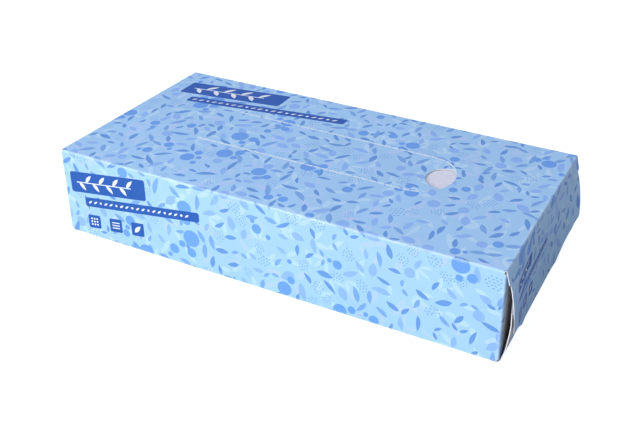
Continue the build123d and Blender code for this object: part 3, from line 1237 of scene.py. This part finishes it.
def foldedSheetMesh(halfX, y0, y1, thickness):
    # one folded tissue: flat, with a soft rounded fold along each long side
    profile = []
    h = thickness / 2
    for centreY, start in ((y1 - h, 90), (y0 + h, 270)):
        for i in range(4):
            a = math.radians(start - 60 * i)
            profile.append((centreY + h * math.cos(a), h * math.sin(a)))
    columns = tissues["columns"]
    points, faces = [], []
    for i in range(columns):
        x = -halfX + 2 * halfX * i / (columns - 1)
        points += [(x, y, z) for y, z in profile]
    n = len(profile)
    for i in range(columns - 1):
        for j in range(n):
            k = (j + 1) % n
            faces.append((i * n + j, i * n + k, (i + 1) * n + k, (i + 1) * n + j))
    faces.append(tuple(range(n)))
    faces.append(tuple(reversed(range((columns - 1) * n, columns * n))))
    mesh = bpy.data.meshes.new("foldedSheet")
    mesh.from_pydata(points, [], faces)
    mesh.flip_normals()
    mesh.update()
    return mesh


def stackTree(sheet, material):
    inputs = {"Sheets": "Int", "Pitch": "Vector", "Start": "Vector", "Wander": "Vector"}
    tree, entry, outlet = newTree("tissueStackTree", **inputs)
    line = addNode(tree, "GeometryNodeMeshLine")
    shape = addNode(tree, "GeometryNodeObjectInfo", Object=sheet)
    nudge = addNode(tree, "GeometryNodeSetPosition")
    negative = addNode(tree, "ShaderNodeVectorMath", operation="SCALE", Scale=-1.0)
    shift = randomValue(tree, "FLOAT_VECTOR", negative.outputs[0], entry["Wander"], 5)
    place = addNode(tree, "GeometryNodeInstanceOnPoints")
    connect(
        tree, (entry["Sheets"], line.inputs["Count"]), (entry["Start"], line.inputs["Start Location"]),
        (entry["Pitch"], line.inputs["Offset"]), (entry["Wander"], negative.inputs[0]),
        (line.outputs[0], nudge.inputs["Geometry"]), (shift, nudge.inputs["Offset"]),
        (nudge.outputs[0], place.inputs["Points"]), (shape.outputs["Geometry"], place.inputs["Instance"]),
    )
    connect(tree, (realAndPainted(tree, place.outputs[0], material), outlet))
    return tree


def evenly(start, stop, step, extra=()):
    # even places about a step apart, moved aside for the extra ones
    count = max(1, round((stop - start) / step))
    values = [start + (stop - start) * i / count for i in range(count + 1)]
    values = [v for v in values if all(abs(v - e) > step / 3 for e in extra)]
    return sorted(values + list(extra))


def skinMesh(name, xs, ys, levelAt, thickness, skip=None):
    # a thin sheet over a grid, with an upper skin, a lower skin and edges between them
    columns = len(ys)
    count = len(xs) * columns
    points = []
    for depth in (0, thickness):
        points += [(x * mm, y * mm, (levelAt(x, y) - depth) * mm) for x in xs for y in ys]
    faces = []
    for i in range(len(xs) - 1):
        for j in range(columns - 1):
            if skip and skip((xs[i] + xs[i + 1]) / 2, (ys[j] + ys[j + 1]) / 2):
                continue
            k = i * columns + j
            faces.append((k, k + columns, k + columns + 1, k + 1))
    seen = {pair for face in faces for pair in zip(face, face[1:] + face[:1])}
    rims = [(a, b) for a, b in seen if (b, a) not in seen]
    faces += [tuple(i + count for i in reversed(face)) for face in faces]
    faces += [(b, a, a + count, b + count) for a, b in sorted(rims)]
    mesh = bpy.data.meshes.new(name)
    mesh.from_pydata(points, [], faces)
    mesh.polygons.foreach_set("use_smooth", [True] * len(faces))
    mesh.update()
    return mesh


def topTissueMesh(halfX, y0, y1, top, thickness):
    def levelAt(x, y):
        inset = min(halfX - abs(x), y - y0, y1 - y)
        sunk = thickness * 0.6 * (1 - smoothStep(inset / tissues["edgeRound"]))
        return top - sunk + puffAt(x, y)

    step = tissues["topGrid"]
    return skinMesh("topTissue", evenly(-halfX, halfX, step), evenly(y0, y1, step), levelAt, thickness)


def buildStack():
    lowEnd, highEnd = (tuple(c / mm for c in corner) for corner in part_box("tissue_stack"))
    wander = tissues["wander"]
    pitch = (highEnd[2] - lowEnd[2] - 2 * tissues["lift"]) / (tissues["sheets"] + 1)
    halfX, y0, y1 = highEnd[0] - wander, lowEnd[1] + wander, highEnd[1] - wander
    sheetThick = pitch * (1 - tissues["gapShare"])
    sheet = placeItem("tissueSheet", foldedSheetMesh(halfX * mm, y0 * mm, y1 * mm, sheetThick * mm))
    host = placeItem("tissueHost", bpy.data.meshes.new("tissueHost"))
    material = tissueFinish()
    tree = stackTree(sheet, material)
    values = {
        "Sheets": tissues["sheets"],
        "Pitch": (0.0, 0.0, pitch * mm),
        "Start": (0.0, 0.0, (lowEnd[2] + tissues["lift"] + pitch / 2) * mm),
        "Wander": (wander * mm, wander * mm, 0.0),
    }
    made = applyTree(host, tree, values, "interfoldedTissues")
    dropItems([sheet, host])

    both = bmesh.new()
    both.from_mesh(made)
    topSheet = topTissueMesh(halfX, y0, y1, highEnd[2] - tissues["lift"], pitch * tissues["topShare"])
    both.from_mesh(topSheet)
    both.to_mesh(made)
    both.free()
    bpy.data.meshes.remove(topSheet)
    made.materials.clear()
    made.materials.append(material)
    made.polygons.foreach_set("material_index", [0] * len(made.polygons))
    made.polygons.foreach_set("use_smooth", [True] * len(made.polygons))
    piece = placeItem("interfolded_tissues", made)
    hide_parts("tissue_stack")
    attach(piece, "root")
    print("stage: tissues stacked,", len(made.polygons), "faces")


buildStack()


# The film under the tear-out panel
film = {
    "thick": 0.05,
    "sag": 1.8,
    "slope": 5.0,
    "slitLength": 96.0,
    "slitWidth": 0.3,
    "grid": 1.5,
    "tint": (0.93, 0.94, 0.97),
    "clear": 0.30,
    "rough": 0.22,
    "rippleScale": 90.0,
    "rippleDepth": 0.0008,
}


def filmFinish():
    material, tree, surface = newFinish("clearFilm")
    ripple = texture(tree, "Noise", Scale=film["rippleScale"], Detail=3.0)
    haze = mapped(tree, ripple, To_Min=film["rough"] - 0.08, To_Max=film["rough"] + 0.12)
    bump = bumped(tree, ripple, 0.4, film["rippleDepth"])
    surface.inputs["Base Color"].default_value = (*film["tint"], 1)
    surface.inputs["Alpha"].default_value = film["clear"]
    connect(tree, (haze, surface.inputs["Roughness"]), (bump, surface.inputs["Normal"]))
    return material


def buildFilm():
    lowEnd, highEnd = (tuple(c / mm for c in corner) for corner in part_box("slit_film"))
    cx, cy = tearOut["middle"]
    halfSlit, halfGap = film["slitLength"] / 2, film["slitWidth"] / 2

    def levelAt(x, y):
        inside = tearRadius - math.hypot(max(abs(x - cx) - tearStraight, 0), y - cy)
        level = highEnd[2] - film["sag"] * smoothStep(inside / film["slope"])
        return min(level + min(puffAt(x, y), film["sag"]), highEnd[2])

    def inSlit(x, y):
        return abs(x - cx) < halfSlit and abs(y - cy) < halfGap

    xs = evenly(lowEnd[0], highEnd[0], film["grid"], (cx - halfSlit, cx + halfSlit))
    ys = evenly(lowEnd[1], highEnd[1], film["grid"], (cy - halfGap, cy + halfGap))
    mesh = skinMesh("slitFilm", xs, ys, levelAt, film["thick"], inSlit)
    mesh.materials.append(filmFinish())
    piece = placeItem("clear_film", mesh)
    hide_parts("slit_film")
    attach(piece, "root")
    print("stage: film laid,", len(mesh.polygons), "faces")


buildFilm()
